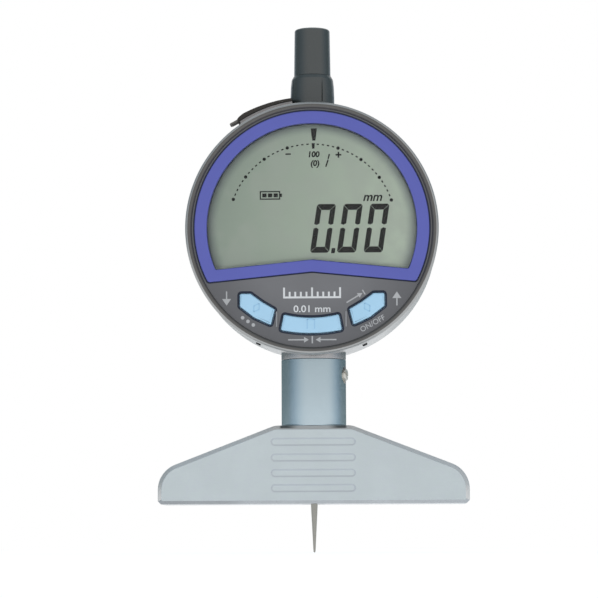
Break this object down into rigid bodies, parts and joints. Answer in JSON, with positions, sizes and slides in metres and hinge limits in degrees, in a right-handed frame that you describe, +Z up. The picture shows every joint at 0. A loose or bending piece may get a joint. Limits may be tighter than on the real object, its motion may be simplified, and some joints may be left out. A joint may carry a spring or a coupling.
{
  "type": "depth gauge",
  "caption": "Digital depth gauge: round indicator head with display window and push buttons, stem clamped in a sleeve on a wide bridge base, sliding spindle ending in a needle.",
  "frame": {"origin": "tip of the measuring needle with the spindle fully out, on the spindle axis; the measuring face of the base lies 11.3 mm above it", "axes": "+Z up along the spindle, the dial faces -Y, +X to the right of a person reading the dial"},
  "size_m": [0.0724, 0.0264, 0.124],
  "materials": {
    "base_steel": "hardened steel, fine ground, satin",
    "sleeve_steel": "turned steel, satin, with fine turning lines",
    "spindle_steel": "ground stainless steel",
    "needle_steel": "polished hardened steel",
    "case_silver": "silver-grey enamel on die casting",
    "bezel_metal": "satin plated metal, fine lines round the ring",
    "panel_grey": "fine-textured grey plastic",
    "frame_blue": "smooth violet-blue plastic",
    "lens_clear": "clear hard-coated window",
    "lcd_glass": "grey-green liquid crystal display behind glass",
    "button_blue": "smooth light blue moulding",
    "cap_grey": "satin dark grey plastic",
    "rubber_dark": "matt dark rubber",
    "screw_black": "black oxide steel",
    "screw_steel": "plated steel",
    "brass": "turned brass",
    "clamp_nickel": "nickel-plated steel, warm grey",
    "alloy": "machined alloy",
    "board_green": "green solder mask on laminate",
    "holder_black": "black moulded plastic",
    "white_plastic": "white moulded plastic",
    "cell_metal": "bright nickel plate"
  },
  "bodies": {
    "gauge_body": {"base": "base_steel", "base_set_screw": "screw_black", "sleeve": "sleeve_steel", "sleeve_clamp_screw": "clamp_nickel", "indicator_stem": "spindle_steel", "lower_bush": "brass", "upper_bush": "brass", "reader_board": "board_green", "guide_plate": "alloy", "guide_plate_screw_lower": "screw_steel", "guide_plate_screw_upper": "screw_steel", "return_spring": "screw_steel", "case_body": "case_silver", "stem_block": "alloy", "case_side_screw_left": "screw_black", "case_side_screw_right": "screw_black", "bezel_ring": "bezel_metal", "front_panel": "panel_grey", "window_frame": "frame_blue", "window_lens": "lens_clear", "dome_switch_left": "screw_steel", "dome_switch_middle": "screw_steel", "dome_switch_right": "screw_steel", "lcd_panel": "lcd_glass", "lcd_frame": "white_plastic", "display_connector": "rubber_dark", "main_board": "board_green", "display_chip": "holder_black", "board_screw_1": "screw_steel", "board_screw_2": "screw_steel", "board_screw_3": "screw_steel", "board_screw_4": "screw_steel", "back_cover": "cap_grey", "back_cover_screw_1": "screw_steel", "back_cover_screw_2": "screw_steel", "back_cover_screw_3": "screw_steel", "back_cover_screw_4": "screw_steel", "battery_holder": "holder_black", "battery_contact": "brass", "coin_cell": "cell_metal", "data_socket": "holder_black", "port_cover_anchor": "rubber_dark", "cap_collar": "cap_grey", "dust_cap": "cap_grey"},
    "spindle_assembly": {"spindle": "spindle_steel", "contact_needle": "needle_steel", "scale_carriage": "alloy", "carriage_screw": "screw_steel", "guide_pin": "screw_steel", "scale_strip": "lens_clear"},
    "button_left": {"button_left": "button_blue"},
    "button_middle": {"button_middle": "button_blue"},
    "button_right": {"button_right": "button_blue"},
    "battery_cover": {"battery_cover": "cap_grey"},
    "port_cover": {"port_cover": "rubber_dark"}
  },
  "joints": [
    {"name": "spindle_slide", "type": "slide", "parent": "gauge_body", "child": "spindle_assembly", "axis": [0, 0, 1], "range_m": [0, 0.0125], "stiffness_N_per_m": 50, "springref_m": -0.012, "deforming": ["return_spring"]},
    {"name": "button_left_press", "type": "slide", "parent": "gauge_body", "child": "button_left", "axis": [0, 1, 0], "range_m": [0, 0.0004], "stiffness_N_per_m": 2000, "springref_m": -0.0003},
    {"name": "button_middle_press", "type": "slide", "parent": "gauge_body", "child": "button_middle", "axis": [0, 1, 0], "range_m": [0, 0.0004], "stiffness_N_per_m": 2000, "springref_m": -0.0003},
    {"name": "button_right_press", "type": "slide", "parent": "gauge_body", "child": "button_right", "axis": [0, 1, 0], "range_m": [0, 0.0004], "stiffness_N_per_m": 2000, "springref_m": -0.0003},
    {"name": "battery_cover_turn", "type": "hinge", "parent": "gauge_body", "child": "battery_cover", "pos_m": [0, 0.0125, 0.0753], "axis": [0, -1, 0], "range_deg": [0, 60]},
    {"name": "port_cover_open", "type": "hinge", "parent": "gauge_body", "child": "port_cover", "pos_m": [-0.00707, 0, 0.10654], "axis": [0, 1, 0], "range_deg": [0, 95], "stiffness_Nm_per_rad": 0.002}
  ]
}
